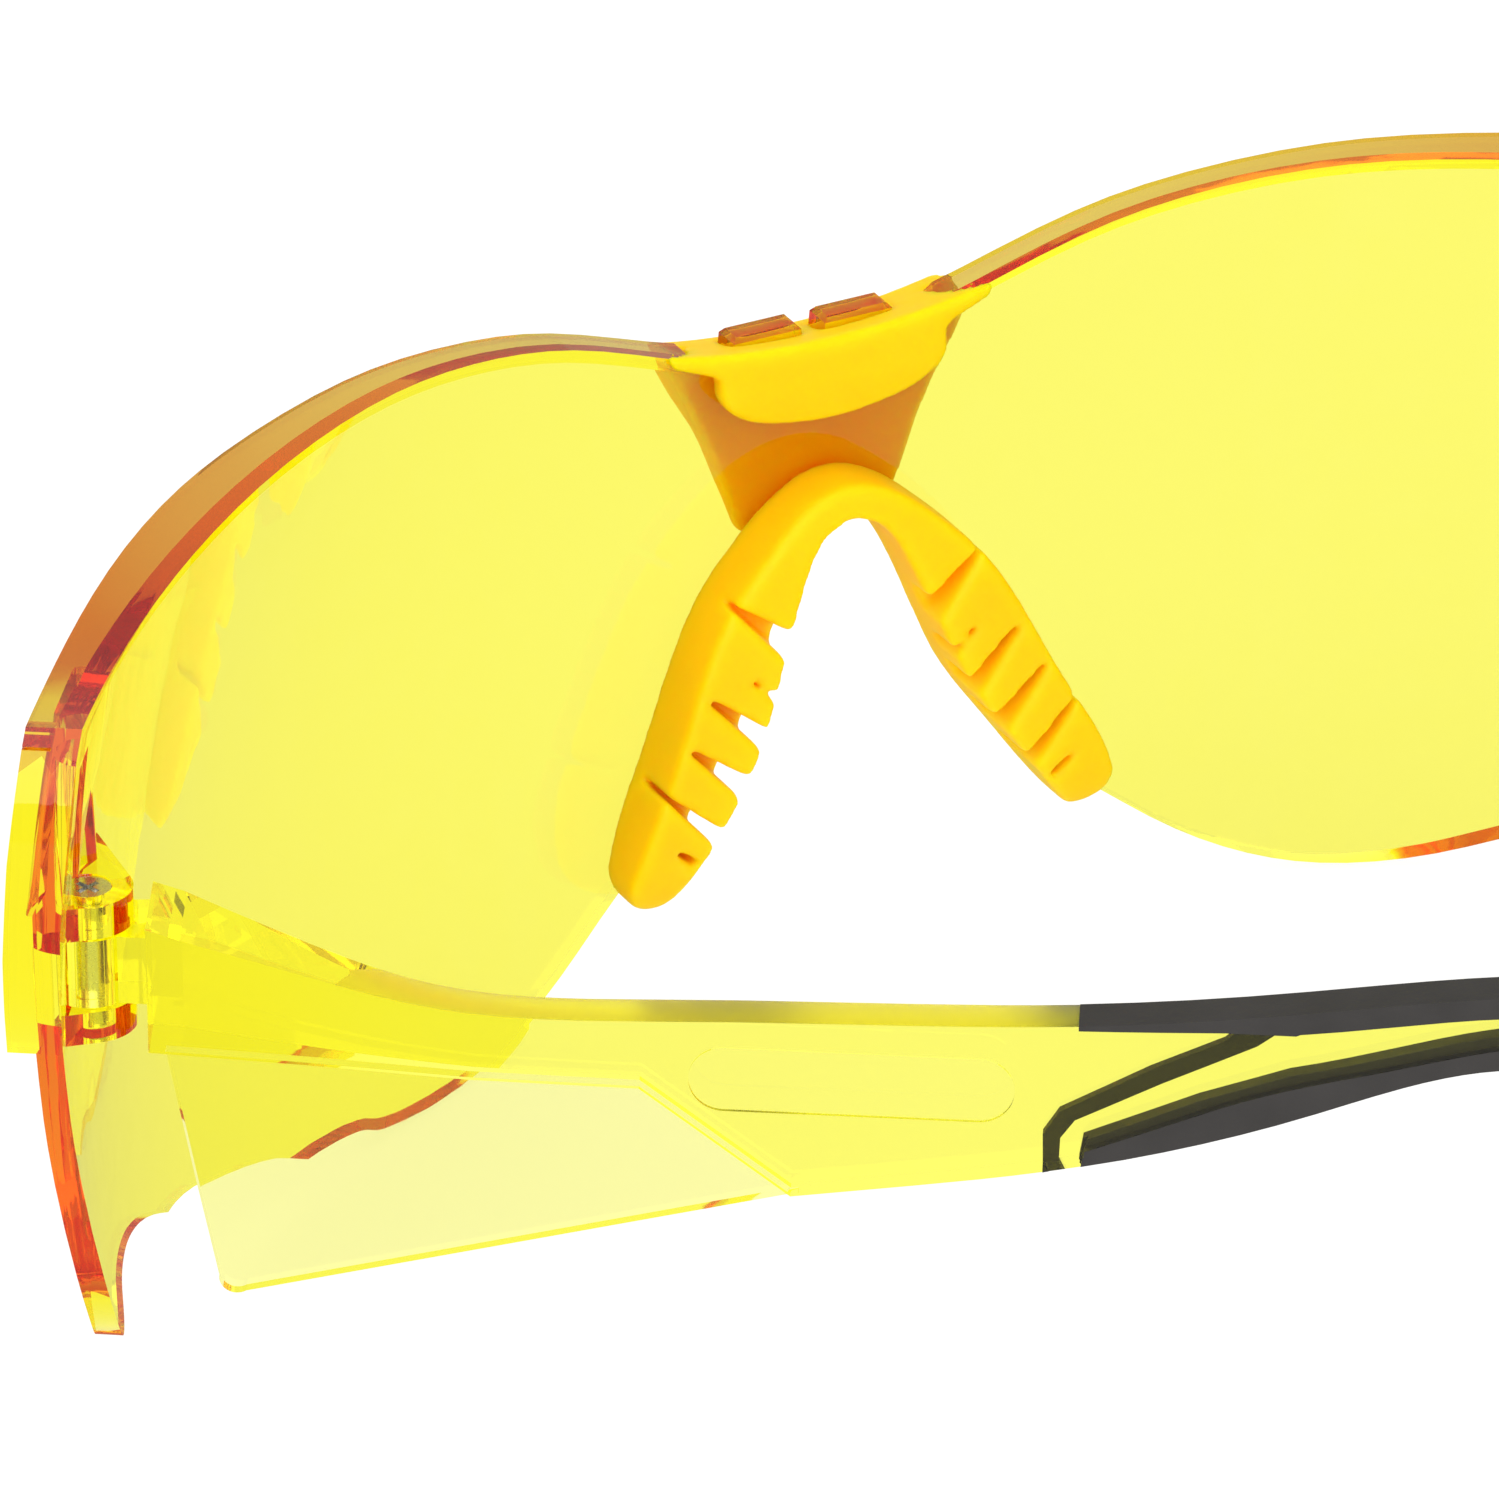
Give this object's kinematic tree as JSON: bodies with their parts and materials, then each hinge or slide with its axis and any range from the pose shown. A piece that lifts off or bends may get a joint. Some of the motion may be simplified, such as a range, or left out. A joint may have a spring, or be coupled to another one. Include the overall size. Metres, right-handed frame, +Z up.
{
  "type": "safety glasses",
  "caption": "Wraparound safety glasses: one-piece clear yellow shield lens, soft nosepiece with finned pads, folding temples with side shields and rubber ear grips.",
  "frame": {"origin": "middle of the bounding box, on the surface the glasses stand on", "axes": "+Z up, -Y the way the wearer looks, +X the wearer's left"},
  "size_m": [0.1406, 0.158, 0.0468],
  "materials": {
    "clear_yellow": "clear yellow polycarbonate, polished",
    "soft_yellow": "soft opaque yellow elastomer, satin",
    "black_rubber": "black elastomer, matt",
    "steel": "bright steel"
  },
  "bodies": {
    "front": {"lens": "clear_yellow", "nose_piece": "soft_yellow", "hinge_screw_left": "steel", "hinge_screw_right": "steel"},
    "left_temple": {"temple_left": "clear_yellow", "ear_grip_left": "black_rubber"},
    "right_temple": {"temple_right": "clear_yellow", "ear_grip_right": "black_rubber"}
  },
  "joints": [
    {"name": "left_hinge", "type": "hinge", "parent": "front", "child": "left_temple", "pos_m": [0.0639, -0.03797, 0.03191], "axis": [0, 0, 1], "range_deg": [-60, 28]},
    {"name": "right_hinge", "type": "hinge", "parent": "front", "child": "right_temple", "pos_m": [-0.0639, -0.03797, 0.03191], "axis": [0, 0, -1], "range_deg": [0, 38]}
  ]
}
